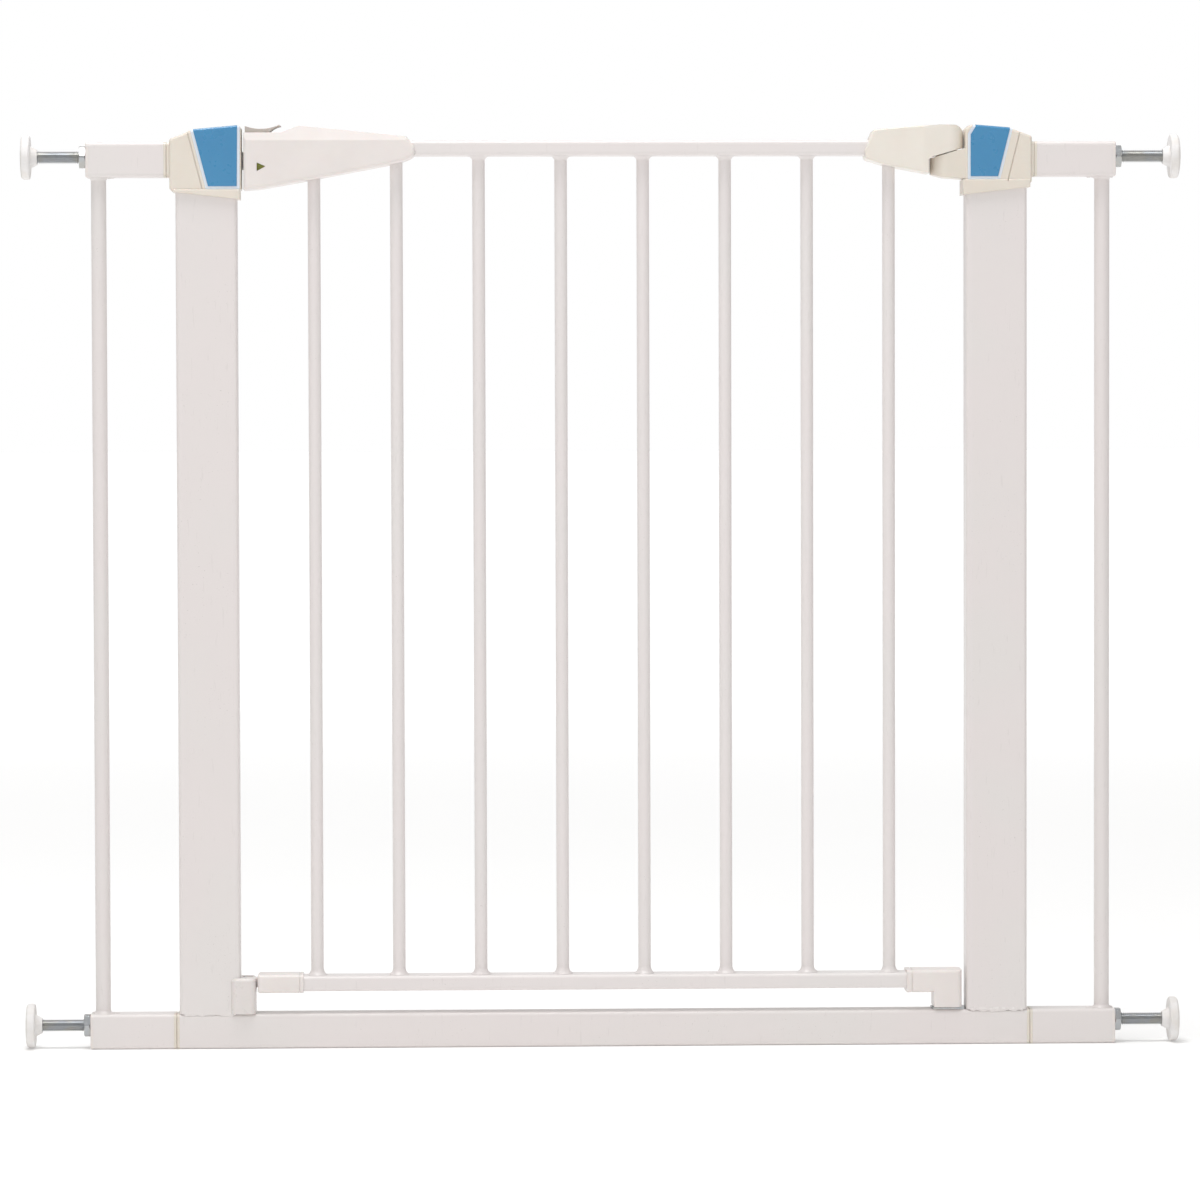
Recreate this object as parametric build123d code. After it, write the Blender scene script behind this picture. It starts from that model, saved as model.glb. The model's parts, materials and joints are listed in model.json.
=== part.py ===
"""Pressure-fit safety gate: a steel frame with a lift-and-swing door, a sliding latch and four wall spindles.

Millimetres. X runs along the gate, Z up, and the front faces -Y. The origin is on the floor, mid width, mid depth.
Each named piece is written to parts/NAME.step.
"""

import os

from build123d import *

# Door bars and rails
bar_pitch = 65.0
bar_count = 8
bar_radius = 5.0
bar_wall = 1.0
rail_height = 12.0
rail_depth = 25.0
bottom_rail_z = 45.0
top_rail_z = 705.6
rail_wall = 1.2

# Main frame
post_inner_x = 288.1
post_outer_x = 336.4
frame_depth = 25.0
post_top_z = 716.5
threshold_height = 27.5
tube_wall = 1.5
tube_corner = 3.0

# Extensions
upper_tube_z = 689.0
upper_tube_height = 27.5
extension_end_x = 404.6
extension_bar_x = 397.3
extension_bar_radius = 6.0
end_cap_thickness = 2.4
collar_width = 4.6
plug_wall = 2.0
plug_length = 16.0

# Wall spindles
spindle_radius = 5.0
spindle_inner_x = 375.0
lower_spindle_z = 18.0
upper_spindle_z = 705.0
nut_flats = 17.0
nut_thickness = 5.0
pad_radius = 17.5
pad_face_x = 458.0
pad_thickness = 7.0
hub_length = 5.5

# Caps on the posts
cap_half_depth = 14.5
cap_collar_half_depth = 15.6
insert_layer = 1.5
insert_proud = 0.4
trim_width = 2.3

# Hinge
hinge_x = 273.5
cover_half_depth = 15.4
beak_radius = 13.4
cover_rounding = 1.5
cover_wall = 2.5
upper_pivot_radius = 6.0
upper_bush_radius = 8.5
lower_pin_radius = 4.0
lower_bush_radius = 6.0
lower_bush_top_z = 54.5
sleeve_wall = 1.3
cam_slope = 0.29
cam_centre_z = 707.8
cam_gap = 0.7

# Handle and latch
handle_half_depth = 16.0
handle_wall = 3.0
handle_end_x = -282.7
slide_travel = 8.0
bolt_half_depth = 3.0
bolt_low_z = 695.0
bolt_high_z = 709.0

running_gap = 0.06
static_gap = 0.15

bottom_rail_top_z = bottom_rail_z + rail_height
top_rail_top_z = top_rail_z + rail_height
bar_xs = [(i - (bar_count - 1) / 2) * bar_pitch for i in range(bar_count)]


# Shared shapes


def block(x0, x1, y0, y1, z0, z1):
    """A box between two corners."""
    middle = ((x0 + x1) / 2, (y0 + y1) / 2, (z0 + z1) / 2)
    return Pos(*middle) * Box(abs(x1 - x0), abs(y1 - y0), abs(z1 - z0))


def rounded_block(x0, x1, half_depth, z0, z1, radius, axis):
    """A box, centred on Y = 0, with the edges along one axis rounded."""
    solid = block(x0, x1, -half_depth, half_depth, z0, z1)
    return fillet(solid.edges().filter_by(axis), radius)


def tube(x0, x1, half_depth, z0, z1, wall, corner, axis):
    """A rectangular tube along X or Z, open at both ends."""
    outer = rounded_block(x0, x1, half_depth, z0, z1, corner, axis)
    if axis == Axis.X:
        inner = (x0 - 1, x1 + 1, half_depth - wall, z0 + wall, z1 - wall)
    else:
        inner = (x0 + wall, x1 - wall, half_depth - wall, z0 - 1, z1 + 1)
    return outer - rounded_block(*inner, max(corner - wall, 0.4), axis)


def prism(points, half_depth):
    """A side outline (X, Z), extruded the same way to the front and to the rear."""
    face = make_face(Polyline(*points, close=True))
    return extrude(Plane.XZ * face, half_depth, both=True)


def rounded_outline(points, radius, corners=None):
    """A closed outline (X, Z) with all its corners rounded, or those that the test picks."""
    face = make_face(Polyline(*points, close=True))
    picked = face.vertices() if corners is None else face.vertices().filter_by(corners)
    return fillet(picked, radius)


def section_prism(points, x0, x1):
    """A cross-section (Y, Z), extruded from x0 to x1."""
    face = make_face(Polyline(*points, close=True))
    return Pos(x0, 0, 0) * extrude(Plane.YZ * face, x1 - x0)


def upright(x, y, radius, z0, z1):
    """A vertical cylinder."""
    return Pos(x, y, (z0 + z1) / 2) * Cylinder(radius, z1 - z0)


def along_x(z, radius, x0, x1):
    """A cylinder along X, at mid depth."""
    turned = Rot(0, 90, 0) * Cylinder(radius, abs(x1 - x0))
    return Pos((x0 + x1) / 2, 0, z) * turned


def along_y(x, z, radius, y0, y1):
    """A cylinder along Y."""
    turned = Rot(90, 0, 0) * Cylinder(radius, abs(y1 - y0))
    return Pos(x, (y0 + y1) / 2, z) * turned


def mirrored(solid, side):
    """The solid as built on the right, or its mirror image on the left."""
    return solid if side > 0 else mirror(solid, Plane.YZ)


def rounded_front_and_back(solid, half_depth, radius):
    """The solid with the edges of its front and rear faces rounded."""
    rims = solid.edges().filter_by(lambda e: abs(abs(e.center().Y) - half_depth) < 0.01)
    return fillet(rims, radius)


# Fixed frame


def threshold_rail():
    """The tube on the floor that both posts stand on."""
    half = frame_depth / 2
    return tube(-post_outer_x, post_outer_x, half, 0, threshold_height, tube_wall, tube_corner, Axis.X)


def post(side):
    """A post: open below, with an opening for the upper connector and, on the left, one for the bolt."""
    half = frame_depth / 2
    z0 = threshold_height
    solid = tube(post_inner_x, post_outer_x, half, z0, post_top_z, tube_wall, tube_corner, Axis.Z)
    low, high = upper_tube_z + tube_wall, upper_tube_z + upper_tube_height - tube_wall
    reach = half - tube_wall
    solid -= block(post_outer_x - 4, post_outer_x + 1, -reach, reach, low, high)
    if side < 0:
        slot = bolt_half_depth + 0.8
        solid -= block(post_inner_x - 1, post_inner_x + 3, -slot, slot, 688, post_top_z + 1)
    solid = mirrored(solid, side)
    return solid - cap_screw_hole(side)


def upper_collar_x(side):
    """Where the upper connector's collar starts and ends, measured outward."""
    return (340.2, 344.4) if side > 0 else (341.0, 345.6)


def extension_tube(side, upper):
    """A short tube from the connector to the end cap."""
    start = upper_collar_x(side)[1] if upper else post_outer_x + collar_width
    z0 = upper_tube_z if upper else 0
    z1 = upper_tube_z + upper_tube_height if upper else threshold_height
    solid = tube(start, extension_end_x, frame_depth / 2, z0, z1, tube_wall, tube_corner, Axis.X)
    return mirrored(solid, side)


def extension_bar(side):
    """The round bar between an extension's two tubes, with a small weld fillet at each end."""
    solid = flared_bar(extension_bar_radius, threshold_height, upper_tube_z, 8.0, 2.5, 8.0, 2.5)
    return Pos(side * extension_bar_x, 0, 0) * solid


def tube_plug(x0, x1, z0, z1):
    """A hollow plug that fills a tube of the frame."""
    half = frame_depth / 2 - tube_wall
    return tube(x0, x1, half, z0 + tube_wall, z1 - tube_wall, plug_wall, tube_corner - tube_wall, Axis.X)


def connector(side, upper):
    """A plastic joiner: a collar between two tubes with a plug into each, and a groove round the collar."""
    start, end = upper_collar_x(side) if upper else (post_outer_x, post_outer_x + collar_width)
    z0 = upper_tube_z if upper else 0
    z1 = upper_tube_z + upper_tube_height if upper else threshold_height
    half = frame_depth / 2
    bore = block(start - 1, end + 1, 3.5 - half, half - 3.5, z0 + 3.5, z1 - 3.5)
    rim = rounded_block(start, end, half, z0, z1, tube_corner, Axis.X)
    middle = (start + end) / 2
    groove = rounded_block(middle - 0.4, middle + 0.4, half + 1, z0 - 1, z1 + 1, tube_corner, Axis.X)
    groove -= rounded_block(start, end, half - 0.7, z0 + 0.7, z1 - 0.7, tube_corner - 0.7, Axis.X)
    inward = start - (plug_length if upper else plug_length - 2)
    solid = rim - bore - groove + tube_plug(inward, end + plug_length, z0, z1)
    return mirrored(solid, side)


def end_cap(side, upper):
    """The cap on an extension tube: a flange, a plug, and a hole that guides the spindle."""
    z0 = upper_tube_z if upper else 0
    z1 = upper_tube_z + upper_tube_height if upper else threshold_height
    axis_z = upper_spindle_z if upper else lower_spindle_z
    half = frame_depth / 2
    flange = rounded_block(
        extension_end_x, extension_end_x + end_cap_thickness, half, z0, z1, tube_corner, Axis.X
    )
    flange = chamfer(flange.faces().sort_by(Axis.X)[-1].edges(), 0.6)
    solid = flange + tube_plug(extension_end_x - 10, extension_end_x, z0, z1)
    web = block(extension_end_x - 6, extension_end_x, 4 - half, half - 4, z0 + 3, z1 - 3)
    solid = solid + web - along_x(axis_z, spindle_radius + running_gap, 380, 420)
    return mirrored(solid, side)


def flared_bar(radius, z0, z1, low_reach, low_height, high_reach, high_height):
    """A round tubular bar that swells to its welds at both ends."""
    with BuildSketch(Plane.XZ) as profile:
        with BuildLine():
            Line((0, z0), (low_reach, z0))
            RadiusArc((low_reach, z0), (radius, z0 + low_height), 1.1 * low_height + 1.5)
            Line((radius, z0 + low_height), (radius, z1 - high_height))
            RadiusArc((radius, z1 - high_height), (high_reach, z1), 1.1 * high_height + 1.5)
            Line((high_reach, z1), (0, z1))
            Line((0, z1), (0, z0))
        make_face()
    return revolve(profile.sketch, Axis.Z) - upright(0, 0, radius - bar_wall, z0 - 1, z1 + 1)


# Caps on the posts

latch_cap_outline = [
    (-341.0, 678.0),
    (-341.0, 719.0),
    (-330.0, 723.0),
    (-324.0, 726.0),
    (-284.4, 729.6),
    (-284.4, 678.0),
]
latch_collar_outline = [(-338.8, 679.2), (-338.8, 677.2), (-285.6, 671.4), (-285.6, 679.2)]
latch_insert_outline = [(-322.1, 740.0), (-322.1, 725.8), (-310.6, 681.7), (-288.0, 681.7), (-287.4, 740.0)]

hinge_cap_outline = [
    (287.3, 683.0),
    (287.3, 726.0),
    (291.0, 729.6),
    (322.7, 727.0),
    (340.2, 720.6),
    (340.2, 683.0),
]
hinge_collar_outline = [(285.6, 686.3), (285.6, 674.4), (338.8, 680.2), (338.8, 686.3)]
hinge_insert_outline = [
    (295.5, 740.0),
    (295.5, 728.0),
    (291.5, 721.7),
    (291.5, 688.8),
    (313.2, 688.8),
    (322.7, 726.8),
    (322.7, 740.0),
]


def cap_body(outline, grown=0.0):
    """The outer form of a cap above its collar, rounded at the front and rear, or the same form grown."""
    depth = cap_half_depth + grown
    form = extrude(Plane.XZ * rounded_outline(outline, 2.6), depth, both=True)
    solid = rounded_front_and_back(form, depth, 2.2)
    return Pos(0, 0, grown) * solid


def saddle_core(outline):
    """What a saddle-shaped insert is wrapped over."""
    return Pos(0, 0, -insert_layer) * prism(outline, cap_half_depth - insert_layer)


def widened(outline, width):
    """An insert's outline with the trim round it: to both sides and below, not above."""
    grown = offset(make_face(Polyline(*outline, close=True)), width, kind=Kind.INTERSECTION)
    return extrude(Plane.XZ * grown, 30, both=True)


def insert(outline, insert_outline):
    """The coloured saddle, a little proud of the cap."""
    return (cap_body(outline, insert_proud) & prism(insert_outline, 30)) - saddle_core(outline)


def trim(outline, insert_outline):
    """The pale border round the saddle."""
    border = widened(insert_outline, trim_width) - prism(insert_outline, 31)
    return (cap_body(outline) & border) - saddle_core(outline)


def flank_groove(points, width):
    """A shallow groove along a line, across the front and rear of a cap."""
    (x0, z0), (x1, z1) = points
    strip = prism([(x0, z0), (x1, z1), (x1 + width, z1), (x0 + width, z0)], 30)
    return strip - block(-400, 400, 0.6 - cap_half_depth, cap_half_depth - 0.6, 600, 800)


def cap_shell(outline, collar_outline, insert_outline, side):
    """A cap without its insert and trim: body, collar, and the pocket for the post."""
    half = frame_depth / 2
    collar = prism(collar_outline, cap_collar_half_depth)
    collar = rounded_front_and_back(collar, cap_collar_half_depth, 0.9)
    saddle = (cap_body(outline) & widened(insert_outline, trim_width)) - saddle_core(outline)
    solid = cap_body(outline) - saddle + collar
    pocket = rounded_block(post_inner_x, post_outer_x, half, 600, post_top_z + 0.5, tube_corner, Axis.Z)
    low, high = upper_tube_z + tube_wall, upper_tube_z + upper_tube_height - tube_wall
    reach = half - tube_wall
    pocket += block(post_outer_x - 2, post_outer_x + 20, -reach, reach, low, high)
    return solid - mirrored(pocket, side) - cap_screw_hole(side)


def latch_cap():
    """The cap on the left post, with the slot that the bolt enters."""
    solid = cap_shell(latch_cap_outline, latch_collar_outline, latch_insert_outline, -1)
    slot = bolt_half_depth + 0.8
    solid -= block(-post_inner_x - 2.6, -280, -slot, slot, 690, 727)
    return solid - flank_groove([(-328.5, 730.0), (-315.3, 679.0)], 0.8)


def hinge_cap():
    """The cap on the right post, with an arm that carries the upper pivot under the door's cover."""
    solid = cap_shell(hinge_cap_outline, hinge_collar_outline, hinge_insert_outline, 1)
    solid -= flank_groove([(331.8, 730.0), (320.6, 685.0)], 0.8)
    return solid + hinge_arm() - cap_screw_hole(1)


def cam_seat():
    """The space below the arm's top face.

    At the front the face follows the cover's slope. Toward the rear it falls away, so that the
    cover can turn over it by a quarter turn toward the rear.
    """
    reach = 30.0
    top = cam_centre_z - cam_gap
    rise = cam_slope * reach
    left, right = hinge_x - reach, hinge_x + reach
    along = prism([(left, 600), (right, 600), (right, top + rise), (left, top - rise)], reach)
    across = section_prism([(-reach, 600), (reach, 600), (reach, top - rise), (-reach, top + rise)], left, right)
    rear_left = block(left, hinge_x, 0, reach, top - cam_slope * beak_radius * 1.2, 800)
    return (along & across) - rear_left


def hinge_arm():
    """The arm from the cap to the hinge axis, round at its end, with the pivot standing on it."""
    radius = 13.3
    x1 = post_inner_x
    outline = [(256.0, 691.6), (270.8, 688.1), (x1, 687.0), (x1, 720.0), (256.0, 720.0)]
    plan = upright(hinge_x, 0, radius, 680, 720) + block(hinge_x, x1, -radius, radius, 680, 720)
    arm = plan & prism(outline, 20) & cam_seat()
    arm -= upright(hinge_x, 0, upper_bush_radius + 0.5, cam_centre_z - 3.4, 730)
    return arm + upright(hinge_x, 0, upper_pivot_radius, 695, 725.5)


def lower_hinge_pin():
    """A pin on a small plate that is welded to the threshold rail beside the post."""
    z0 = threshold_height
    plate = rounded_block(261.0, 287.9, 9.5, z0, z0 + 1.4, 2.0, Axis.Z)
    pin = upright(hinge_x, 0, lower_pin_radius, z0, 51.0)
    pin = chamfer(pin.edges().sort_by(Axis.Z)[-1], 1.2)
    return plate + pin


def latch_socket():
    """The guide that the door's lower plug drops into: a body with two prongs round the post's edge."""
    half = 15.6
    z0, z1 = threshold_height, 56.0
    solid = rounded_block(-296.0, -276.0, half, z0, z1, 5.0, Axis.Z)
    rim = solid.edges().filter_by(lambda e: abs(e.center().Z - z1) < 0.01)
    solid = fillet(rim, 3.5)
    solid -= rounded_block(-310, -post_inner_x, frame_depth / 2, 20, 70, 2.5, Axis.Z)
    solid -= block(-300, -post_inner_x - 2, 0.1 - frame_depth / 2, frame_depth / 2 - 0.1, 20, 70)
    return solid - block(-286.6, -270.0, -4.2, 4.2, 46.2, 60.0)


# Screws at the rear

cap_screw_places = {-1: (-325.0, 683.5), 1: (312.0, 681.8)}
handle_screw_xs = (-214.0, -176.0)
cover_screw_xs = (240.0, 252.5)


def screw(x, z, head_y, length):
    """A pan-head screw driven toward the front from the rear, with a cross recess."""
    head = along_y(x, z, 3.5, head_y, head_y + 2.0)
    head = fillet(head.edges().sort_by(Axis.Y)[-1], 0.9)
    head -= block(x - 0.5, x + 0.5, head_y + 1.0, head_y + 3, z - 2, z + 2)
    head -= block(x - 2, x + 2, head_y + 1.0, head_y + 3, z - 0.5, z + 0.5)
    return head + along_y(x, z, 1.7, head_y - length, head_y)


def screw_hole(x, z, head_y, length):
    """Room for a screw and for its head."""
    shank = along_y(x, z, 1.7 + static_gap, head_y - length - 0.5, head_y + 1)
    return shank + along_y(x, z, 3.7, head_y, head_y + 12)


def cap_screw_hole(side):
    """Room for the screw that holds a cap to its post."""
    return screw_hole(*cap_screw_places[side], 14.4, 8)


def cap_screws():
    """One screw for each cap."""
    return Compound(children=[screw(*place, 14.4, 8) for place in cap_screw_places.values()])


def door_screws():
    """The screws that hold the handle and the hinge cover together round the top rail."""
    middle = (top_rail_z + top_rail_top_z) / 2
    handle = [screw(x, middle, handle_half_depth - 3.0, 8) for x in handle_screw_xs]
    cover = [screw(x, middle, cover_half_depth - 2.5, 6) for x in cover_screw_xs]
    return Compound(children=handle + cover)


def door_screw_holes():
    """Room for the door's screws."""
    middle = (top_rail_z + top_rail_top_z) / 2
    room = [screw_hole(x, middle, handle_half_depth - 3.0, 8) for x in handle_screw_xs]
    room += [screw_hole(x, middle, cover_half_depth - 2.5, 6) for x in cover_screw_xs]
    return Compound(children=room)


# Hinge bushes


def bush(inner, outer, z0, z1):
    """A plain bush about the hinge axis."""
    return upright(hinge_x, 0, outer, z0, z1) - upright(hinge_x, 0, inner + running_gap, z0 - 1, z1 + 1)


# Door


def top_rail():
    """The door's top rail, drilled for the screws."""
    half = rail_depth / 2
    solid = tube(-244.0, 256.0, half, top_rail_z, top_rail_top_z, rail_wall, 3.0, Axis.X)
    return solid - door_screw_holes()


def bottom_rail():
    """The door's bottom rail."""
    half = rail_depth / 2
    return tube(-262.0, 258.0, half, bottom_rail_z, bottom_rail_top_z, rail_wall, 3.0, Axis.X)


def door_bar(x):
    """One bar of the door."""
    return Pos(x, 0, 0) * flared_bar(bar_radius, bottom_rail_top_z, top_rail_z, 8.0, 5.0, 8.3, 3.0)


def bar_room(xs):
    """Room for the tops of bars under a cover."""
    room = [upright(x, 0, bar_radius + static_gap, 660, top_rail_z) for x in xs]
    room += [upright(x, 0, 8.6, top_rail_z - 3.4, top_rail_z) for x in xs]
    return Compound(children=room)


handle_outline = [
    (-282.7, 678.8),
    (-270.9, 679.4),
    (-231.5, 686.5),
    (-158.1, 700.5),
    (-147.6, 705.1),
    (-147.6, 712.3),
    (-154.2, 720.8),
    (-239.4, 729.4),
    (-252.6, 724.0),
    (-282.7, 724.0),
]


def handle_section(inset):
    """The handle's cross-section: upright sides that lean inward above the crease."""
    side, shoulder, crown = handle_half_depth - inset, 717.6 - inset / 2, 10.6 - inset
    return [(-side, 660), (side, 660), (side, shoulder), (crown, 732), (-crown, 732), (-side, shoulder)]


def handle_form():
    """The handle's outer form."""
    outline = rounded_outline(handle_outline, 60.0, lambda v: -280 < v.X < -156 and v.Y < 702)
    outline = fillet(outline.vertices().filter_by(lambda v: v.X > -148), 4.6)
    outline = fillet(outline.vertices().filter_by(lambda v: -256 < v.X < -236 and v.Y > 720), 8.0)
    solid = extrude(Plane.XZ * outline, handle_half_depth, both=True)
    solid &= section_prism(handle_section(0.0), -290, -140)
    low = solid.edges().filter_by(lambda e: abs(abs(e.center().Y) - handle_half_depth) < 0.01)
    rims = low.filter_by(lambda e: e.center().Z < 710)
    return fillet(rims, 3.0)


def handle_cavity():
    """The space inside the handle, crossed by two ribs that hold the rail."""
    outline = offset(make_face(Polyline(*handle_outline, close=True)), -handle_wall)
    space = extrude(Plane.XZ * outline, handle_half_depth - handle_wall, both=True)
    space &= section_prism(handle_section(handle_wall), -290, -140)
    for x in handle_screw_xs:
        space -= block(x - 4, x + 4, -20, 20, 650, 740)
    return space


def handle():
    """The whole handle, before it is split into a front and a rear half."""
    half = rail_depth / 2
    solid = handle_form() - handle_cavity()
    solid -= rounded_block(-244.0, -100, half, top_rail_z, top_rail_top_z, 3.0, Axis.X)
    nose = bolt_half_depth + 0.5
    solid -= block(-290, -275, -nose, nose, bolt_low_z - 0.5, bolt_high_z + 0.5)
    solid -= block(-277.6, -248.9, -4.0, 4.0, 715, 735)
    return solid - bar_room([-3.5 * bar_pitch, -2.5 * bar_pitch]) - door_screw_holes()


def handle_half(front):
    """One half of the handle; the front one has the indicator's window."""
    solid = handle()
    if front:
        window = [(-272.2, 693.4), (-272.2, 700.3), (-265.2, 697.2)]
        return (solid & block(-300, -100, -30, 0, 600, 800)) - prism(window, 30)
    return solid & block(-300, -100, 0, 30, 600, 800)


cover_end_x = hinge_x + beak_radius
cover_outline = [
    (214.8, 725.9),
    (207.4, 709.6),
    (208.8, 702.5),
    (223.4, 698.0),
    (258.7, 691.2),
    (258.7, 702.3),
    (261.7, cam_centre_z + cam_slope * (261.7 - hinge_x)),
    (cover_end_x, cam_centre_z + cam_slope * beak_radius),
    (cover_end_x, 729.6),
    (266.8, 729.6),
    (246.6, 728.7),
]


def cover_form():
    """The hinge cover's outer form, with a rounded beak over the hinge axis."""
    outline = rounded_outline(cover_outline, 3.2, lambda v: v.X < 216)
    outline = fillet(outline.vertices().filter_by(lambda v: v.X > 280 and v.Y > 725), 9.0)
    solid = extrude(Plane.XZ * outline, cover_half_depth, both=True)
    return rounded_front_and_back(solid, cover_half_depth, cover_rounding)


def cover_plan():
    """The cover's plan: full depth along the rail, and narrower over the hinge axis, where it turns."""
    face = Polyline(
        (190, cover_half_depth),
        (258.7, cover_half_depth),
        (258.7, beak_radius),
        (hinge_x, beak_radius),
        (hinge_x, -beak_radius),
        (255.0, -cover_half_depth),
        (190, -cover_half_depth),
        close=True,
    )
    plan = Pos(0, 0, 680) * extrude(make_face(face), 60)
    return plan + upright(hinge_x, 0, beak_radius, 680, 740)


def hinge_cover():
    """The whole hinge cover, before it is split into a front and a rear half."""
    outline = offset(make_face(Polyline(*cover_outline, close=True)), -cover_wall)
    space = extrude(Plane.XZ * outline, cover_half_depth - cover_wall, both=True)
    space -= block(248.0, 300, -20, 20, 650, 740)
    space -= block(236.5, 243.5, -20, 20, 650, 740)
    solid = (cover_form() & cover_plan()) - space
    solid -= rounded_block(190, 256.0, rail_depth / 2, top_rail_z, top_rail_top_z, 3.0, Axis.X)
    solid -= upright(hinge_x, 0, upper_bush_radius + running_gap, 680, 726.3)
    return solid - bar_room([3.5 * bar_pitch]) - door_screw_holes()


def cover_half(front):
    """One half of the hinge cover."""
    y0, y1 = (-30, 0) if front else (0, 30)
    return hinge_cover() & block(190, 300, y0, y1, 600, 800)


def lower_hinge_bracket():
    """A sleeve on the bottom rail with a leg that turns on the lower bush."""
    half = rail_depth / 2
    outer = half + sleeve_wall
    z0, z1 = bottom_rail_z - 3.6, bottom_rail_top_z + 2.2
    sleeve = rounded_block(240.7, 284.5, outer, z0, z1, 3.0, Axis.X)
    leg = block(262.5, 284.5, -outer, outer, threshold_height + 2.1, z1 - 4)
    plan = rounded_block(200, 284.5, outer, 20, 80, 4.0, Axis.Z)
    plan -= block(hinge_x, 290, 0, 20, 20, 80)
    plan += upright(hinge_x, 0, outer, 20, 80) & block(hinge_x - 1, 284.5, -1, 20, 20, 80)
    solid = (sleeve + leg) & plan
    solid -= rounded_block(230, 258.0, half, bottom_rail_z, bottom_rail_top_z, 3.0, Axis.X)
    solid -= upright(hinge_x, 0, lower_bush_radius + running_gap, 20, lower_bush_top_z + 0.3)
    groove = rounded_block(244.5, 245.3, outer + 1, z0 - 1, z1 + 1, 3.0, Axis.X)
    groove -= rounded_block(240, 250, outer - 0.5, z0 + 0.5, z1 - 0.5, 2.5, Axis.X)
    return solid - groove


def lower_latch_plug():
    """A sleeve on the bottom rail's free end, with the neck that drops into the socket."""
    half = rail_depth / 2
    outer = half + sleeve_wall
    z0, z1 = bottom_rail_z - 1.2, bottom_rail_top_z + 1.4
    sleeve = rounded_block(-274.6, -238.4, outer, z0, z1, 3.0, Axis.X)
    sleeve = chamfer(sleeve.faces().sort_by(Axis.X)[0].edges(), 1.2)
    sleeve -= rounded_block(-262.0, -230, half, bottom_rail_z, bottom_rail_top_z, 3.0, Axis.X)
    groove = rounded_block(-241.6, -241.0, outer + 1, z0 - 1, z1 + 1, 3.0, Axis.X)
    groove -= rounded_block(-250, -230, outer - 0.4, z0 + 0.4, z1 - 0.4, 2.6, Axis.X)
    neck = rounded_block(-285.6, -272.0, 3.6, 47.6, 55.6, 1.5, Axis.X)
    neck = chamfer(neck.faces().sort_by(Axis.X)[0].edges(), 0.8)
    return sleeve - groove + neck


# Latch slide


def thumb_slider():
    """The saddle-shaped button on the handle, with the neck that joins it to the bolt."""
    with BuildSketch() as profile:
        with BuildLine():
            Line((-281.6, 724.4), (-281.6, 729.4))
            ThreePointArc((-281.6, 729.4), (-270.5, 727.1), (-254.6, 730.2))
            Line((-254.6, 730.2), (-253.2, 729.2))
            ThreePointArc((-253.2, 729.2), (-258.6, 727.2), (-262.0, 724.4))
            Line((-262.0, 724.4), (-281.6, 724.4))
        make_face()
    solid = extrude(Plane.XZ * profile.sketch, 9.5, both=True)
    rims = solid.edges().filter_by(lambda e: abs(abs(e.center().Y) - 9.5) < 0.01)
    solid = fillet(rims.filter_by(lambda e: e.center().Z > 725), 0.45)
    return solid + block(-274.0, -266.0, -3.2, 3.2, 712.0, 724.6)


def latch_bolt():
    """The bolt's nose and its carriage, below the thumb slider."""
    nose = block(-289.7, -270.0, -bolt_half_depth, bolt_half_depth, bolt_low_z, bolt_high_z)
    nose = fillet(nose.edges().filter_by(Axis.Z).group_by(Axis.X)[0], 2.2)
    carriage = block(-278.4, -257.0, -8.0, 8.0, 690.5, 712.0)
    return nose + carriage


def latch_indicator():
    """The coloured tab behind the window."""
    return block(-274.0, -264.4, -12.6, -8.0, 692.0, 702.0)


# Wall spindles


def spindle_rod(side, upper):
    """The threaded rod, at its thread's outer diameter."""
    z = upper_spindle_z if upper else lower_spindle_z
    rod = along_x(z, spindle_radius, spindle_inner_x, pad_face_x - pad_thickness + 2.0)
    rod = chamfer(rod.edges().sort_by(Axis.X)[0], 1.0)
    return mirrored(rod, side)


def wall_pad(side, upper):
    """The round pad that bears on the wall, with its hub on the rod's end."""
    z = upper_spindle_z if upper else lower_spindle_z
    back = pad_face_x - pad_thickness
    hub = back - hub_length
    with BuildSketch(Plane.XZ) as profile:
        with BuildLine():
            Polyline((pad_face_x, 0), (pad_face_x, pad_radius - 2.5))
            RadiusArc((pad_face_x, pad_radius - 2.5), (pad_face_x - 2.5, pad_radius), -2.5)
            Polyline((pad_face_x - 2.5, pad_radius), (back + 1.5, pad_radius))
            RadiusArc((back + 1.5, pad_radius), (back, pad_radius - 1.5), -1.5)
            Polyline((back, pad_radius - 1.5), (back, 8.9), (hub, 6.0), (hub, 0), (pad_face_x, 0))
        make_face()
    solid = Pos(0, 0, z) * revolve(profile.sketch, Axis.X)
    solid -= along_x(z, spindle_radius + running_gap, hub - 1, back + 2.0)
    return mirrored(solid, side)


def spindle_nut(side, upper):
    """A thin hexagon nut that bears on the end cap and drives the rod."""
    z = upper_spindle_z if upper else lower_spindle_z
    x0 = extension_end_x + end_cap_thickness + 0.3
    hexagon = RegularPolygon(nut_flats / 2, 6, major_radius=False)
    solid = Pos(x0, 0, z) * extrude(Plane.YZ * hexagon, nut_thickness)
    body = along_x(z, nut_flats / 2 + 0.9, x0, x0 + nut_thickness)
    body = chamfer(body.edges().filter_by(GeomType.CIRCLE), 0.7)
    solid = (solid & body) - along_x(z, spindle_radius + running_gap, x0 - 1, x0 + nut_thickness + 1)
    return mirrored(solid, side)


# Every piece by name

side_names = {-1: "left", 1: "right"}
level_names = {False: "lower", True: "upper"}


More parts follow.
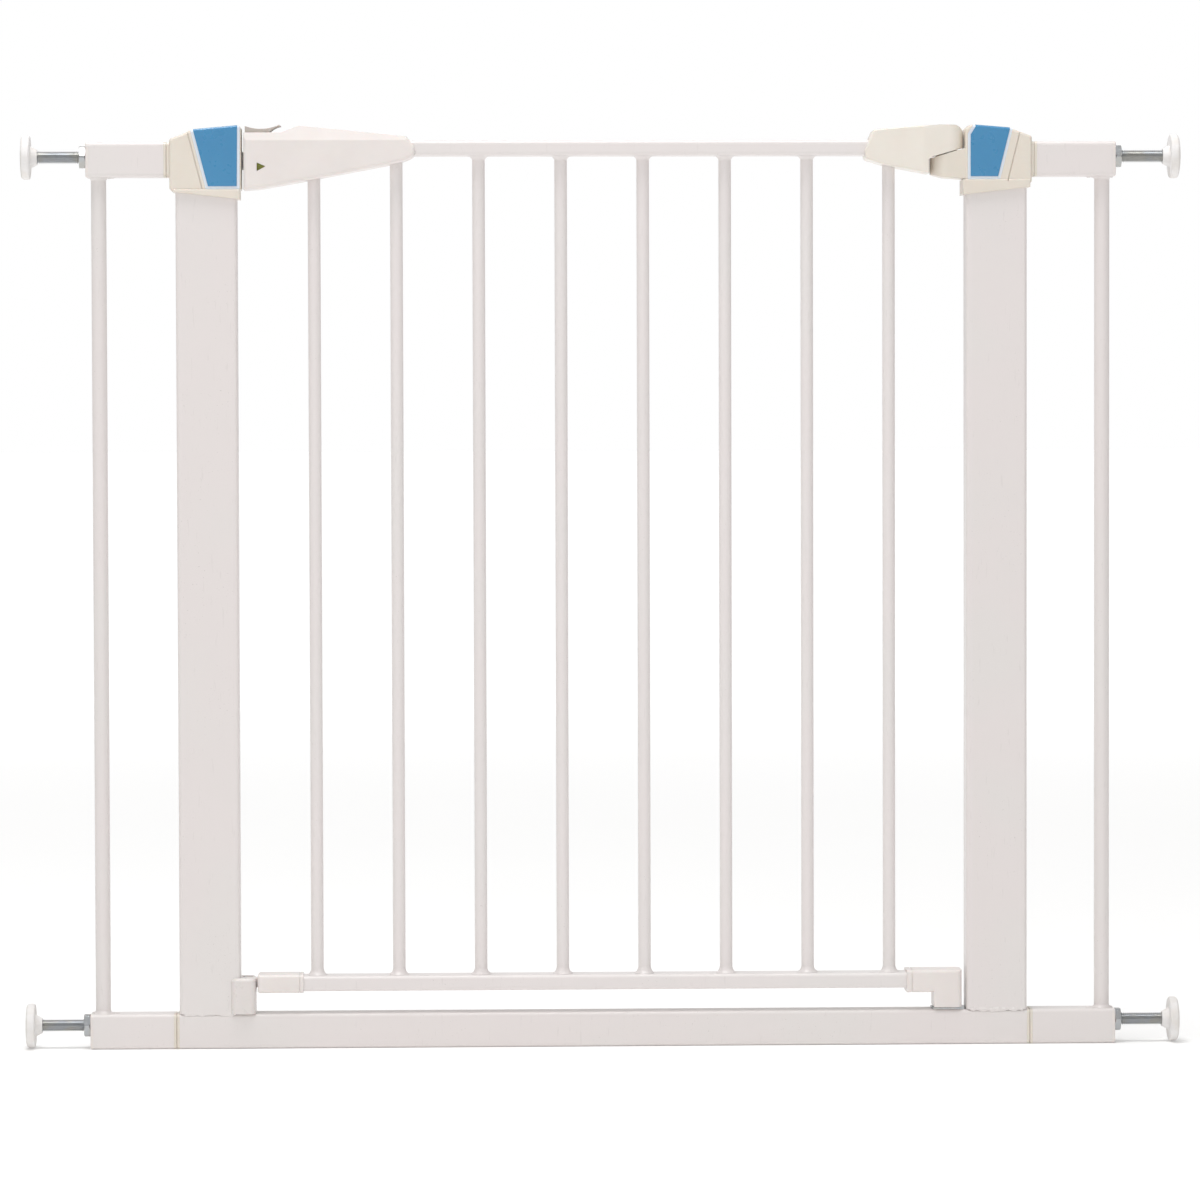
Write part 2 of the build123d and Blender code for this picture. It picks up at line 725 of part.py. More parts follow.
def pieces():
    """All pieces of the gate, by name."""
    made = {
        "threshold_rail": threshold_rail(),
        "latch_cap": latch_cap(),
        "latch_cap_insert": insert(latch_cap_outline, latch_insert_outline),
        "latch_cap_trim": trim(latch_cap_outline, latch_insert_outline),
        "hinge_cap": hinge_cap(),
        "hinge_cap_insert": insert(hinge_cap_outline, hinge_insert_outline),
        "hinge_cap_trim": trim(hinge_cap_outline, hinge_insert_outline),
        "lower_hinge_pin": lower_hinge_pin(),
        "latch_socket": latch_socket(),
        "cap_screws": cap_screws(),
        "upper_hinge_bush": bush(upper_pivot_radius, upper_bush_radius, cam_centre_z - 2.9, 725.0),
        "lower_hinge_bush": bush(lower_pin_radius, lower_bush_radius, 29.6, lower_bush_top_z),
        "door_top_rail": top_rail(),
        "door_bottom_rail": bottom_rail(),
        "handle_front": handle_half(True),
        "handle_rear": handle_half(False),
        "hinge_cover_front": cover_half(True),
        "hinge_cover_rear": cover_half(False),
        "door_screws": door_screws(),
        "lower_hinge_bracket": lower_hinge_bracket(),
        "lower_latch_plug": lower_latch_plug(),
        "thumb_slider": thumb_slider(),
        "latch_bolt": latch_bolt(),
        "latch_indicator": latch_indicator(),
    }
    for number, x in enumerate(bar_xs, 1):
        made[f"door_bar_{number}"] = door_bar(x)
    for side, side_name in side_names.items():
        made[f"{side_name}_post"] = post(side)
        made[f"{side_name}_extension_bar"] = extension_bar(side)
        for upper, level in level_names.items():
            name = f"{side_name}_{level}"
            made[f"{name}_tube"] = extension_tube(side, upper)
            made[f"{name}_connector"] = connector(side, upper)
            made[f"{name}_end_cap"] = end_cap(side, upper)
            made[f"{name}_rod"] = spindle_rod(side, upper)
            made[f"{name}_pad"] = wall_pad(side, upper)
            made[f"{name}_nut"] = spindle_nut(side, upper)
    return made


os.makedirs("parts", exist_ok=True)
for name, solid in pieces().items():
    solid.label = name
    export_step(solid, f"parts/{name}.step")
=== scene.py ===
"""The looks of a pressure-mounted safety gate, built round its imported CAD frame. All sizes are in metres."""
import json
import math
import random

import bmesh
import bpy
from mathutils import Matrix, Vector, noise


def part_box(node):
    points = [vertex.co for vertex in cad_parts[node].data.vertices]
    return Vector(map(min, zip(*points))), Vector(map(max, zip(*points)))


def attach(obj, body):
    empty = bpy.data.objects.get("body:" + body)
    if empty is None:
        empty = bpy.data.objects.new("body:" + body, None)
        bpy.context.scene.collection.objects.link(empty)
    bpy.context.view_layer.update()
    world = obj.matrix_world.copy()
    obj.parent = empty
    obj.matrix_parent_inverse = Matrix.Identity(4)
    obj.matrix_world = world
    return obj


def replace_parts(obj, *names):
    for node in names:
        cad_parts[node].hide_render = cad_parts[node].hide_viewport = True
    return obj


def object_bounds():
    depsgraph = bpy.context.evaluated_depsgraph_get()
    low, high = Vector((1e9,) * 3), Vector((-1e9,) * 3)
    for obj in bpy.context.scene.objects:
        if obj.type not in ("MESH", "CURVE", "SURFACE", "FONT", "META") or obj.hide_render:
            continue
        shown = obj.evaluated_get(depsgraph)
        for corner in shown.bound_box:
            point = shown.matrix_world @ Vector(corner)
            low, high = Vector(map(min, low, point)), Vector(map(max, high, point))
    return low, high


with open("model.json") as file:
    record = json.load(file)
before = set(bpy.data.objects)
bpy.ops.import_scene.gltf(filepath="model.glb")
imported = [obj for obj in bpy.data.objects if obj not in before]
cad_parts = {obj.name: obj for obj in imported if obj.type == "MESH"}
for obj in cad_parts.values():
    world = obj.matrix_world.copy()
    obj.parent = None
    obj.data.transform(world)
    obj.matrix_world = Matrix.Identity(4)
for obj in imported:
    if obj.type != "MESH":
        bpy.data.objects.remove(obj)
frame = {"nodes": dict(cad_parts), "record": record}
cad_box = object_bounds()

MM = 0.001

# Camera
camera_place = Vector((-0.142, -4.3, 0.506))
camera_yaw = 0.0325
camera_pitch = -0.0353
camera_roll = -0.0027
camera_lens = 162.7
camera_sensor = 36
camera_reach = 200

# Edges in the shading
bevel_samples = 4
edge_flat = 0.99
edge_sharp = 0.80

# Threads. The crest and the flank are shares of half a pitch.
thread_pitch = 1.5 * MM
thread_depth = 0.92 * MM
thread_crest = 0.125
thread_flank = 0.625
thread_chamfer = 1.0 * MM
thread_steps = 8
thread_sides = 28

# Weld beads. The falls, lumps and drifts are shares of a bead's size, and the rates are per metre.
weld_step = 0.4 * MM
weld_sides = 10
weld_ripple_least = 1.5 * MM
weld_ripple_most = 2.1 * MM
weld_ripple_fall = 0.28
weld_lump = 0.8
weld_lump_rate = 240
weld_drift = 0.2
weld_drift_rate = 150
weld_noise_span = 50
weld_end_steps = 5
weld_end_size = 0.15
weld_least_size = 0.12

# Weld sizes: the ring's radius, the bead's width and its height
bar_count = 8
bar_foot_weld = (6.6 * MM, 3.4 * MM, 1.0 * MM)
bar_head_weld = (5.2 * MM, 1.3 * MM, 0.7 * MM)
extension_weld_gap = 0.1 * MM
extension_weld_width = 1.5 * MM
extension_weld_height = 0.8 * MM
extension_tail_inset = 0.5 * MM
extension_tail_length = 5.5 * MM
extension_tail_width = 6 * MM
extension_tail_height = 1.0 * MM
post_weld_inset = 2.5 * MM
post_weld_sink = 0.25 * MM
post_weld_width = 3.2 * MM
post_weld_height = 0.75 * MM

# Floor, surround and lamps
floor_radius = 60
floor_sides = 96
floor_gap = 0.2 * MM
glow_near = 1.0
glow_far = 5.0
glow_least = 0.14
glow_most = 0.5
surround_turn = 0.35
surround_ahead = 0.70
surround_beside = 0.22
top_light_place = (-0.3, -0.45, 3.2)
top_light_power = 56
top_light_size = 1.6
front_light_place = (-2.2, -3.4, 2.2)
front_light_power = 12
front_light_size = 1.2

random.seed(7)


# Materials


def linear(red, green, blue):
    """A colour given in display values, as the shader takes it."""
    return tuple(((c + 0.055) / 1.055) ** 2.4 for c in (red, green, blue)) + (1.0,)


class Finish:
    """A Principled material with the few node chains that the gate's surfaces share."""

    def __init__(self, name, colour, **sockets):
        self.material = bpy.data.materials.new(name)
        self.material.use_nodes = True
        self.tree = self.material.node_tree
        self.shader = self.tree.nodes["Principled BSDF"]
        self.shader.inputs["Base Color"].default_value = colour
        for socket, value in sockets.items():
            self.shader.inputs[socket.replace("_", " ")].default_value = value
        self.coordinates = self.add("ShaderNodeTexCoord").outputs["Object"]
        self.normal = None
        self.colour = colour

    def add(self, kind, **values):
        """A node of this kind. Values are its settings, or its inputs where they have that name."""
        made = self.tree.nodes.new(kind)
        for key, value in values.items():
            socket = made.inputs.get(key.replace("_", " "))
            if socket is None:
                setattr(made, key, value)
            elif isinstance(value, bpy.types.NodeSocket):
                self.tree.links.new(value, socket)
            else:
                socket.default_value = value
        return made

    def stretched(self, x, y, z):
        """The object's coordinates, scaled along each axis."""
        return self.add("ShaderNodeMapping", Vector=self.coordinates, Scale=(x, y, z)).outputs[0]

    def noise(self, size, detail=2.0, roughness=0.5, vector=None):
        """Smooth noise whose features are about this wide."""
        made = self.add("ShaderNodeTexNoise", Vector=vector or self.coordinates, Scale=1 / size)
        made.inputs["Detail"].default_value = detail
        made.inputs["Roughness"].default_value = roughness
        return made.outputs["Fac"]

    def cells(self, size):
        """Each cell of a Voronoi pattern has its own grey."""
        made = self.add("ShaderNodeTexVoronoi", Vector=self.coordinates, Scale=1 / size)
        return self.add("ShaderNodeSeparateColor", Color=made.outputs["Color"]).outputs[0]

    def mapped(self, value, low, high, to_low, to_high):
        """value, carried from one range to another and held inside it."""
        made = self.add("ShaderNodeMapRange", Value=value)
        made.inputs["From Min"].default_value = low
        made.inputs["From Max"].default_value = high
        made.inputs["To Min"].default_value = to_low
        made.inputs["To Max"].default_value = to_high
        return made.outputs[0]

    def product(self, a, b):
        """Two masks multiplied."""
        made = self.add("ShaderNodeMath", operation="MULTIPLY")
        self.tree.links.new(a, made.inputs[0])
        self.tree.links.new(b, made.inputs[1])
        return made.outputs[0]

    def mixed(self, amount, first, second):
        """A colour between two others."""
        made = self.add("ShaderNodeMix", data_type="RGBA")
        self.tree.links.new(amount, made.inputs[0])
        for socket, value in ((made.inputs[6], first), (made.inputs[7], second)):
            if isinstance(value, bpy.types.NodeSocket):
                self.tree.links.new(value, socket)
            else:
                socket.default_value = value
        return made.outputs[2]

    def tint(self, other, amount):
        """Turns the colour so far towards another one where amount is high."""
        self.colour = self.mixed(amount, self.colour, other)
        self.tree.links.new(self.colour, self.shader.inputs["Base Color"])

    def rough(self, value, low, high):
        """Roughness from low to high, as value goes from 0.3 to 0.7."""
        self.tree.links.new(self.mapped(value, 0.3, 0.7, low, high), self.shader.inputs["Roughness"])

    def round_edges(self, radius):
        """Softens sharp edges in the shading by this radius."""
        made = self.add("ShaderNodeBevel", samples=bevel_samples, Radius=radius)
        self.normal = made.outputs[0]
        self.tree.links.new(self.normal, self.shader.inputs["Normal"])

    def bump(self, height, depth, strength):
        """Raises the surface by up to depth where height is 1."""
        made = self.add("ShaderNodeBump", Height=height, Distance=depth, Strength=strength)
        if self.normal:
            self.tree.links.new(self.normal, made.inputs["Normal"])
        self.normal = made.outputs[0]
        self.tree.links.new(self.normal, self.shader.inputs["Normal"])

    def edge_mask(self, radius):
        """High along convex and concave edges, within this radius of them."""
        soft = self.add("ShaderNodeBevel", samples=bevel_samples, Radius=radius).outputs[0]
        hard = self.add("ShaderNodeNewGeometry").outputs["Normal"]
        made = self.add("ShaderNodeVectorMath", operation="DOT_PRODUCT")
        self.tree.links.new(soft, made.inputs[0])
        self.tree.links.new(hard, made.inputs[1])
        return self.mapped(made.outputs["Value"], edge_flat, edge_sharp, 0.0, 1.0)

    def scratches(self, size, stretch, share):
        """Thin broken lines along one axis of the object. share is how much of the surface they take."""
        lines = self.noise(size, 3.0, 0.6, self.stretched(*stretch))
        return self.mapped(lines, 0.66 - share, 0.72 - share, 0.0, 1.0)


def powder_coat(name, colour, cooler):
    """Satin paint over steel: orange peel, slow drifts of shade, thin edges, dust and small scuffs."""
    made = Finish(name, colour, Coat_Weight=0.22, Coat_Roughness=0.18, IOR=1.5)
    made.tint(cooler, made.mapped(made.noise(0.11, 2.0), 0.45, 0.65, 0.0, 0.6))
    thin = linear(0.905, 0.895, 0.89)
    thinning = made.mapped(made.noise(5 * MM, 4.0), 0.4, 0.65, 0.1, 0.6)
    made.tint(thin, made.product(made.edge_mask(0.9 * MM), thinning))
    dust = linear(0.70, 0.675, 0.655)
    specks = made.mapped(made.noise(1.1 * MM, 1.0), 0.735, 0.78, 0.0, 0.55)
    patches = made.mapped(made.noise(0.05, 1.0), 0.45, 0.6, 0.0, 1.0)
    made.tint(dust, made.product(specks, patches))
    scuffs = made.scratches(2.2 * MM, (1.0, 1.0, 0.12), 0.01)
    made.tint(dust, made.mapped(scuffs, 0.0, 1.0, 0.0, 0.12))
    made.rough(made.noise(9 * MM, 3.0), 0.34, 0.46)
    made.round_edges(0.5 * MM)
    made.bump(made.noise(22 * MM, 2.0), 0.25 * MM, 0.35)
    made.bump(made.noise(1.5 * MM, 2.0), 0.05 * MM, 0.55)
    return made.material


def moulded(name, colour, shade, roughness, grain, gloss=0.0, edge=0.35 * MM, relief=0.6):
    """Injection-moulded plastic: a fine grain, soft flow marks and slightly polished edges."""
    made = Finish(name, colour, Coat_Weight=gloss, Coat_Roughness=0.12, IOR=1.5)
    made.shader.inputs["Subsurface Weight"].default_value = 0.06
    made.shader.inputs["Subsurface Scale"].default_value = 1.5 * MM
    made.tint(shade, made.mapped(made.noise(0.035, 3.0, 0.6), 0.4, 0.66, 0.0, 0.75))
    flow = made.noise(4 * MM, 4.0, 0.6, made.stretched(0.3, 1.0, 1.0))
    made.tint(shade, made.mapped(flow, 0.52, 0.7, 0.0, 0.3))
    wear = made.mapped(made.noise(3 * MM, 3.0), 0.4, 0.62, 0.0, 0.35)
    pale = tuple(min(1.0, c * 1.08) for c in colour[:3]) + (1.0,)
    made.tint(pale, made.product(made.edge_mask(0.6 * MM), wear))
    made.rough(made.noise(6 * MM, 3.0), roughness - 0.05, roughness + 0.07)
    made.round_edges(edge)
    made.bump(made.noise(grain, 2.0, 0.7), 0.03 * MM, relief)
    made.bump(made.noise(14 * MM, 1.0), 0.12 * MM, 0.25)
    return made.material


def zinc_plate(name):
    """Bright zinc plating: a faint spangle, a drift from blue to straw, small dark stains and a fine grain."""
    colour = linear(0.70, 0.71, 0.72)
    made = Finish(name, colour, Metallic=1.0)
    made.tint(linear(0.72, 0.71, 0.68), made.mapped(made.noise(9 * MM, 2.0), 0.42, 0.62, 0.0, 0.7))
    made.tint(linear(0.60, 0.62, 0.64), made.mapped(made.cells(1.6 * MM), 0.0, 1.0, 0.0, 0.2))
    stains = made.noise(1.3 * MM, 4.0, 0.7)
    made.tint(linear(0.42, 0.41, 0.40), made.mapped(stains, 0.64, 0.76, 0.0, 0.35))
    made.rough(made.noise(2.5 * MM, 4.0), 0.16, 0.27)
    made.round_edges(0.2 * MM)
    made.bump(made.noise(0.5 * MM, 3.0, 0.7), 0.02 * MM, 0.5)
    return made.material


def pad_rubber(name):
    """Pale rubber of the wall pads, with grey rub marks on the face that bears on the wall."""
    colour = linear(0.915, 0.905, 0.90)
    made = Finish(name, colour, Specular_IOR_Level=0.4, Sheen_Weight=0.15)
    made.tint(linear(0.89, 0.87, 0.85), made.mapped(made.noise(0.012, 3.0), 0.4, 0.65, 0.0, 0.8))
    place = made.add("ShaderNodeSeparateXYZ", Vector=made.coordinates).outputs[0]
    outward = made.add("ShaderNodeMath", operation="ABSOLUTE")
    made.tree.links.new(place, outward.inputs[0])
    face = made.mapped(outward.outputs[0], cad_box[1].x - 1.6 * MM, cad_box[1].x - 0.2 * MM, 0.0, 1.0)
    rubbed = made.product(face, made.mapped(made.noise(7 * MM, 3.0, 0.55), 0.38, 0.68, 0.15, 0.7))
    made.tint(linear(0.76, 0.74, 0.71), rubbed)
    made.rough(made.noise(3 * MM, 3.0), 0.5, 0.68)
    made.round_edges(0.6 * MM)
    made.bump(made.noise(0.7 * MM, 3.0, 0.6), 0.04 * MM, 0.5)
    return made.material


def sliding_plastic(name, colour, shade):
    """Plastic that rubs as it slides along X: fine polished lines in that direction."""
    made = Finish(name, colour, IOR=1.48)
    lines = made.noise(0.6 * MM, 3.0, 0.6, made.stretched(0.06, 1.0, 1.0))
    made.tint(shade, made.mapped(lines, 0.45, 0.68, 0.0, 0.7))
    made.tint(shade, made.mapped(made.noise(7 * MM, 2.0), 0.45, 0.65, 0.0, 0.5))
    made.rough(lines, 0.3, 0.5)
    made.round_edges(0.3 * MM)
    made.bump(lines, 0.03 * MM, 0.5)
    made.bump(made.noise(0.4 * MM, 2.0), 0.02 * MM, 0.4)
    return made.material


def make_materials():
    """One material for each slot of the record, and a paler cream for the hinge cover."""
    return {
        "frame_paint": powder_coat(
            "frame_paint", linear(0.888, 0.860, 0.852), linear(0.880, 0.864, 0.852)
        ),
        "door_paint": powder_coat(
            "door_paint", linear(0.894, 0.867, 0.860), linear(0.885, 0.870, 0.860)
        ),
        "cover_cream": moulded(
            "cover_cream", linear(0.918, 0.893, 0.855), linear(0.905, 0.873, 0.83),
            roughness=0.34, grain=0.5 * MM, gloss=0.2, edge=0.9 * MM,
        ),
        "cream_plastic": moulded(
            "cream_plastic", linear(0.885, 0.852, 0.805), linear(0.872, 0.835, 0.785),
            roughness=0.36, grain=0.5 * MM, gloss=0.15, edge=0.7 * MM,
        ),
        "white_plastic": moulded(
            "white_plastic", linear(0.905, 0.877, 0.862), linear(0.89, 0.86, 0.845),
            roughness=0.36, grain=0.45 * MM, gloss=0.15,
        ),
        "blue_plastic": moulded(
            "blue_plastic", linear(0.25, 0.535, 0.712), linear(0.24, 0.52, 0.70),
            roughness=0.3, grain=0.8 * MM, gloss=0.35, edge=0.5 * MM, relief=0.2,
        ),
        "pale_trim": moulded(
            "pale_trim", linear(0.86, 0.885, 0.915), linear(0.84, 0.865, 0.90),
            roughness=0.34, grain=0.6 * MM, gloss=0.1,
        ),
        "grey_plastic": moulded(
            "grey_plastic", linear(0.77, 0.74, 0.71), linear(0.72, 0.69, 0.66),
            roughness=0.44, grain=0.35 * MM,
        ),
        "bolt_plastic": moulded(
            "bolt_plastic", linear(0.875, 0.85, 0.838), linear(0.86, 0.835, 0.82),
            roughness=0.3, grain=0.4 * MM, gloss=0.2,
        ),
        "indicator_green": sliding_plastic(
            "indicator_green", linear(0.58, 0.60, 0.26), linear(0.48, 0.52, 0.20)
        ),
        "bush_plastic": sliding_plastic(
            "bush_plastic", linear(0.86, 0.83, 0.78), linear(0.80, 0.76, 0.70)
        ),
        "zinc_steel": zinc_plate("zinc_steel"),
        "pad_rubber": pad_rubber("pad_rubber"),
    }


def dress_frame():
    """Gives each CAD node the material of its slot. The hinge cover's cream is paler than the caps'."""
    for part in frame["record"]["subparts"]:
        finish = "cover_cream" if part["node"].startswith("hinge_cover") else part["material_slot"]
        for slot in frame["nodes"][part["node"]].material_slots:
            slot.material = materials[finish]


# Pieces


def body_with(node):
    """The body that a CAD node belongs to."""
    bodies = frame["record"]["behaviour"]["bodies"]
    return next(name for name, members in bodies.items() if node in members)


def add_piece(name, mesh_data, slot, body):
    """Turns a bmesh into a smooth piece that rides on a body and takes the finish of a slot."""
    mesh = bpy.data.meshes.new(name)
    bmesh.ops.recalc_face_normals(mesh_data, faces=mesh_data.faces)
    mesh_data.to_mesh(mesh)
    mesh_data.free()
    mesh.materials.append(materials[slot])
    mesh.shade_smooth()
    piece = bpy.data.objects.new(name, mesh)
    bpy.context.collection.objects.link(piece)
    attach(piece, body)
    return piece


def skin(mesh_data, rings, closed):
    """Joins rings of vertices into a tube, with both ends filled unless the tube closes on itself."""
    sides = len(rings[0])
    pairs = list(zip(rings, rings[1:]))
    if closed:
        pairs.append((rings[-1], rings[0]))
    for first, second in pairs:
        for i in range(sides):
            j = (i + 1) % sides
            mesh_data.faces.new((first[i], first[j], second[j], second[i]))
    if not closed:
        mesh_data.faces.new(rings[0])
        mesh_data.faces.new(rings[-1])


def thread_radius(radius, along, turn, from_end):
    """Radius of a right-hand thread at a place along the rod and round it."""
    phase = (along / thread_pitch - turn) % 1.0
    fall = abs(phase - 0.5) * 2
    depth = thread_depth * min(1.0, max(0.0, (fall - thread_crest) / thread_flank))
    chamfer = max(0.0, thread_chamfer - from_end)
    return radius - max(depth, chamfer)


def threaded_rod(node):
    """A rod along X with a helical thread over its whole length, in place of the plain CAD rod."""
    low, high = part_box(node)
    radius = (high.z - low.z) / 2
    centre = (low + high) / 2
    steps = round((high.x - low.x) / thread_pitch * thread_steps)
    mesh_data = bmesh.new()
    rings = []
    for i in range(steps + 1):
        along = (high.x - low.x) * i / steps
        from_end = min(along, high.x - low.x - along)
        ring = []
        for j in range(thread_sides):
            turn = j / thread_sides
            r = thread_radius(radius, along, turn, from_end)
            angle = 2 * math.pi * turn
            place = (low.x + along, centre.y + r * math.cos(angle), centre.z + r * math.sin(angle))
            ring.append(mesh_data.verts.new(place))
        rings.append(ring)
    skin(mesh_data, rings, False)
    rod = add_piece(node + "_threaded", mesh_data, "zinc_steel", body_with(node))
    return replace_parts(rod, node)


def weld_bead(name, path, outward, width, height, slot, body, closed=False):
    """A lumpy bead along a path: overlapping ripples, uneven in size, that rise towards outward."""
    mesh_data = bmesh.new()
    rings = []
    count = len(path)
    ripple = random.uniform(weld_ripple_least, weld_ripple_most)
    start = random.uniform(0, weld_noise_span)
    travelled = 0.0
    for i, place in enumerate(path):
        before = path[i - 1] if i or closed else path[0]
        after = path[(i + 1) % count] if closed or i + 1 < count else path[-1]
        travelled += (place - before).length if i else 0.0
        along = (after - before).normalized()
        up = outward[i]
        side = along.cross(up).normalized()
        lump = noise.noise(Vector((start, travelled * weld_lump_rate, 0)))
        swell = 1 - weld_ripple_fall * (travelled / ripple % 1.0) + weld_lump * lump
        if not closed:
            swell *= min(1.0, weld_end_size + min(i, count - 1 - i) / weld_end_steps)
        swell = max(weld_least_size, swell)
        sway = noise.noise(Vector((0, travelled * weld_drift_rate, start)))
        drift = side * width * weld_drift * sway
        ring = []
        for j in range(weld_sides):
            angle = 2 * math.pi * j / weld_sides
            offset = side * math.cos(angle) * width / 2 + up * math.sin(angle) * height
            ring.append(mesh_data.verts.new(place + drift + offset * swell))
        rings.append(ring)
    skin(mesh_data, rings, closed)
    return add_piece(name, mesh_data, slot, body)


def straight_weld(name, start, end, up, width, height, slot, body):
    """A bead along a straight seam."""
    steps = max(4, round((end - start).length / weld_step))
    path = [start.lerp(end, i / steps) for i in range(steps + 1)]
    return weld_bead(name, path, [up] * len(path), width, height, slot, body)


def ring_weld(name, centre, radius, up, width, height, slot, body):
    """A bead round an upright bar, in the corner between the bar and the rail."""
    steps = round(2 * math.pi * radius / weld_step)
    path = []
    outward = []
    for i in range(steps):
        angle = 2 * math.pi * i / steps
        away = Vector((math.cos(angle), math.sin(angle), 0))
        path.append(centre + away * radius)
        outward.append((away + up).normalized())
    return weld_bead(name, path, outward, width, height, slot, body, True)


def door_welds():
    """Beads where the eight bars meet the two rails of the door."""
    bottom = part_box("door_bottom_rail")[1].z
    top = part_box("door_top_rail")[0].z
    for number in range(1, bar_count + 1):
        low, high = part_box(f"door_bar_{number}")
        centre = (low + high) / 2
        foot = Vector((centre.x, centre.y, bottom))
        head = Vector((centre.x, centre.y, top))
        for end, place, rise, (radius, width, height) in (
            ("foot", foot, Vector((0, 0, 1)), bar_foot_weld),
            ("head", head, Vector((0, 0, -1)), bar_head_weld),
        ):
            name = f"door_bar_{number}_{end}_weld"
            ring_weld(name, place, radius, rise, width, height, "door_paint", "door")


def extension_welds():
    """Beads where each extension bar meets its two tubes, thicker on the side towards the door."""
    for side, inward in (("left", 1), ("right", -1)):
        low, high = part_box(f"{side}_extension_bar")
        centre = (low + high) / 2
        radius = (high.y - low.y) / 2 + extension_weld_gap
        for level, z, up in (
            ("lower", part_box(f"{side}_lower_tube")[1].z, 1),
            ("upper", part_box(f"{side}_upper_tube")[0].z, -1),
        ):
            name = f"{side}_{level}_extension_weld"
            rise = Vector((0, 0, up))
            foot = Vector((centre.x, 0, z))
            width, height = extension_weld_width, extension_weld_height
            ring_weld(name, foot, radius, rise, width, height, "frame_paint", "frame")
            start = Vector((centre.x + inward * (radius - extension_tail_inset), 0, z))
            end = start + Vector((inward * extension_tail_length, 0, 0))
            width, height = extension_tail_width, extension_tail_height
            straight_weld(name + "_tail", start, end, rise, width, height, "frame_paint", "frame")


def post_welds():
    """Beads across the front and rear faces where the posts stand on the threshold rail."""
    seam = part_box("threshold_rail")[1].z
    for side, share in (("left", 0.5), ("right", 0.9)):
        low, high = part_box(f"{side}_post")
        for face, place in ((-1, "front"), (1, "rear")):
            name = f"{side}_post_{place}_weld"
            y = face * (high.y - post_weld_sink)
            start = Vector((low.x + post_weld_inset, y, seam))
            end = Vector((high.x - post_weld_inset, y, seam))
            up = Vector((0, face, 0))
            height = post_weld_height * share
            straight_weld(name, start, end, up, post_weld_width, height, "frame_paint", "frame")


# Stage


def build_floor():
    """A wide pale floor just below the gate, which glows more with distance so that no horizon shows."""
    mesh_data = bmesh.new()
    bmesh.ops.create_circle(mesh_data, cap_ends=True, segments=floor_sides, radius=floor_radius)
    mesh = bpy.data.meshes.new("floor")
    mesh_data.to_mesh(mesh)
    mesh_data.free()
    floor = bpy.data.objects.new("floor", mesh)
    floor.location.z = cad_box[0].z - floor_gap
    made = Finish("floor", linear(0.96, 0.96, 0.958), Specular_IOR_Level=0.2)
    made.tint(linear(0.955, 0.953, 0.95), made.noise(0.3, 3.0))
    made.rough(made.noise(0.02, 3.0), 0.7, 0.85)
    made.shader.inputs["Emission Color"].default_value = (1, 1, 1, 1)
    distance = made.add("ShaderNodeVectorMath", operation="LENGTH")
    made.tree.links.new(made.coordinates, distance.inputs[0])
    glow = made.mapped(distance.outputs["Value"], glow_near, glow_far, glow_least, glow_most)
    made.tree.links.new(glow, made.shader.inputs["Emission Strength"])
    mesh.materials.append(made.material)
    bpy.context.collection.objects.link(floor)


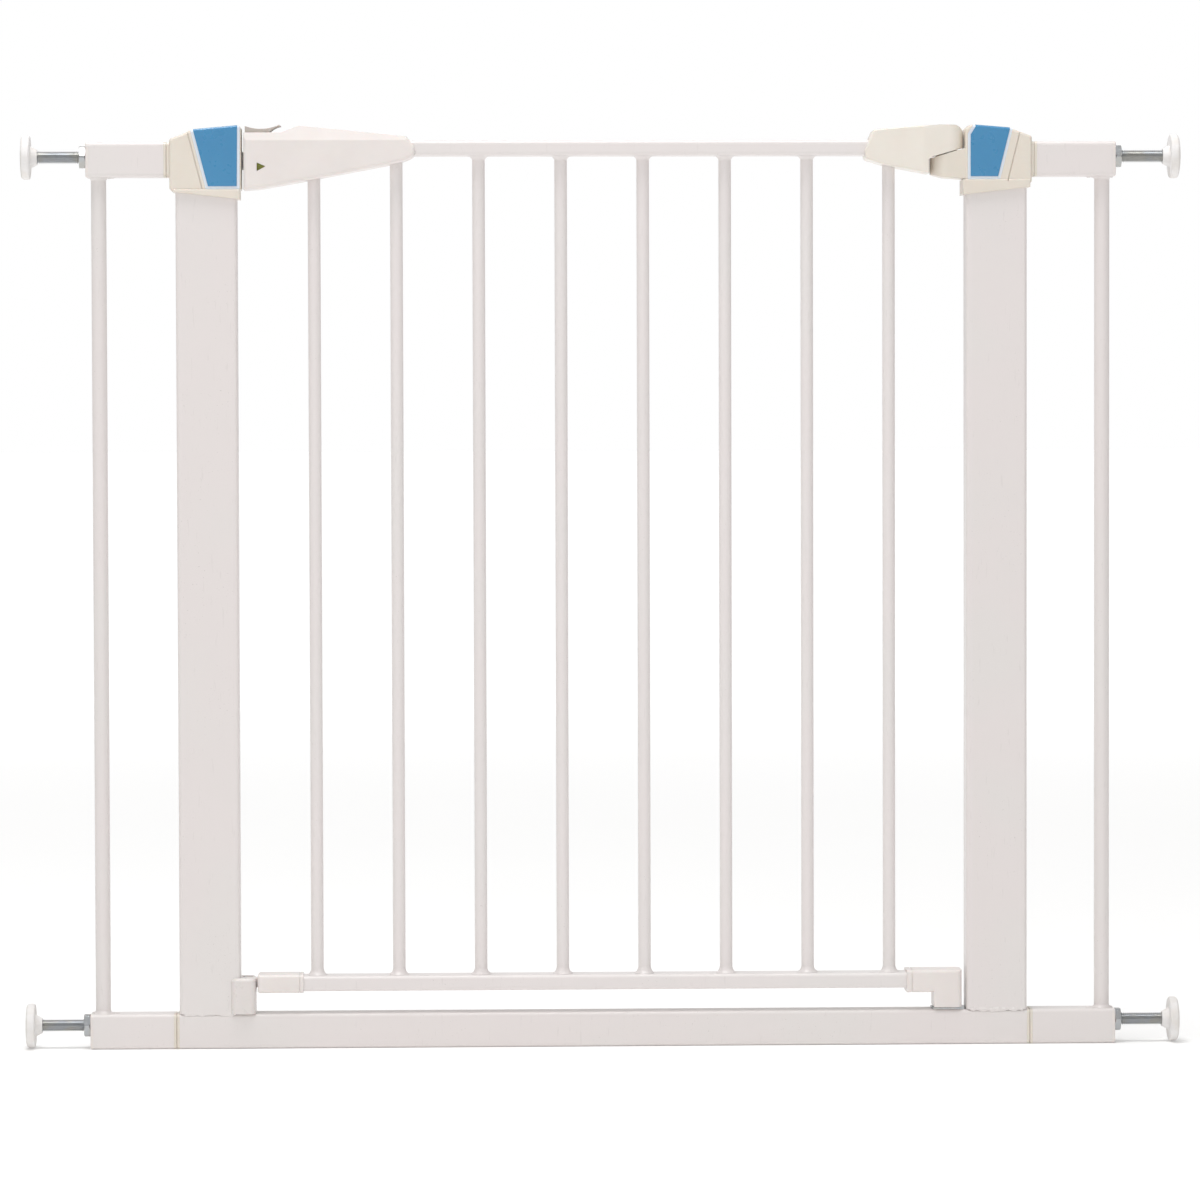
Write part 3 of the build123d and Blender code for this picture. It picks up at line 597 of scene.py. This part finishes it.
def build_light():
    """Two soft boxes and a surround. The camera sees it white, and as a light it is dimmer to the sides."""
    world = bpy.data.worlds.new("studio")
    bpy.context.scene.world = world
    world.use_nodes = True
    nodes = world.node_tree.nodes
    links = world.node_tree.links
    direction = nodes.new("ShaderNodeTexCoord")
    split = nodes.new("ShaderNodeSeparateXYZ")
    links.new(direction.outputs["Generated"], split.inputs[0])
    side = nodes.new("ShaderNodeMath")
    side.operation = "ABSOLUTE"
    links.new(split.outputs[0], side.inputs[0])
    fall = nodes.new("ShaderNodeMapRange")
    fall.inputs["From Min"].default_value = surround_turn
    fall.inputs["From Max"].default_value = 1.0
    fall.inputs["To Min"].default_value = surround_ahead
    fall.inputs["To Max"].default_value = surround_beside
    links.new(side.outputs[0], fall.inputs["Value"])
    seen = nodes.new("ShaderNodeLightPath")
    brightest = nodes.new("ShaderNodeMath")
    brightest.operation = "MAXIMUM"
    links.new(fall.outputs[0], brightest.inputs[0])
    links.new(seen.outputs["Is Camera Ray"], brightest.inputs[1])
    links.new(brightest.outputs[0], nodes["Background"].inputs["Strength"])
    nodes["Background"].inputs["Color"].default_value = (1, 1, 1, 1)
    soft_box("top_light", top_light_place, top_light_power, top_light_size)
    soft_box("front_light", front_light_place, front_light_power, front_light_size)


def soft_box(name, place, power, size):
    """A square area light aimed at the middle of the gate."""
    data = bpy.data.lights.new(name, "AREA")
    data.energy = power
    data.size = size
    lamp = bpy.data.objects.new(name, data)
    lamp.location = place
    aim = (cad_box[0] + cad_box[1]) / 2 - Vector(place)
    lamp.rotation_euler = aim.to_track_quat("-Z", "Y").to_euler()
    bpy.context.collection.objects.link(lamp)


def build_camera():
    """A long lens, a little above the gate's middle, turned slightly down and to the right."""
    sideways = Vector((math.cos(camera_yaw), -math.sin(camera_yaw), 0))
    forward = Vector((math.sin(camera_yaw), math.cos(camera_yaw), 0)) * math.cos(camera_pitch)
    forward.z = math.sin(camera_pitch)
    upward = sideways.cross(forward)
    right = sideways * math.cos(camera_roll) + upward * math.sin(camera_roll)
    up = upward * math.cos(camera_roll) - sideways * math.sin(camera_roll)
    data = bpy.data.cameras.new("camera")
    data.lens = camera_lens
    data.sensor_width = camera_sensor
    data.clip_end = camera_reach
    camera = bpy.data.objects.new("camera", data)
    turn = Matrix((right, up, -forward)).transposed()
    camera.matrix_world = Matrix.Translation(camera_place) @ turn.to_4x4()
    bpy.context.collection.objects.link(camera)
    bpy.context.scene.camera = camera


def build_scene():
    """Dresses the CAD frame, adds the pieces and sets the stage round them."""
    dress_frame()
    for side in ("left", "right"):
        for level in ("lower", "upper"):
            threaded_rod(f"{side}_{level}_rod")
    door_welds()
    extension_welds()
    post_welds()
    build_floor()
    build_light()
    build_camera()
    bpy.context.scene.view_settings.view_transform = "Standard"


materials = make_materials()
build_scene()
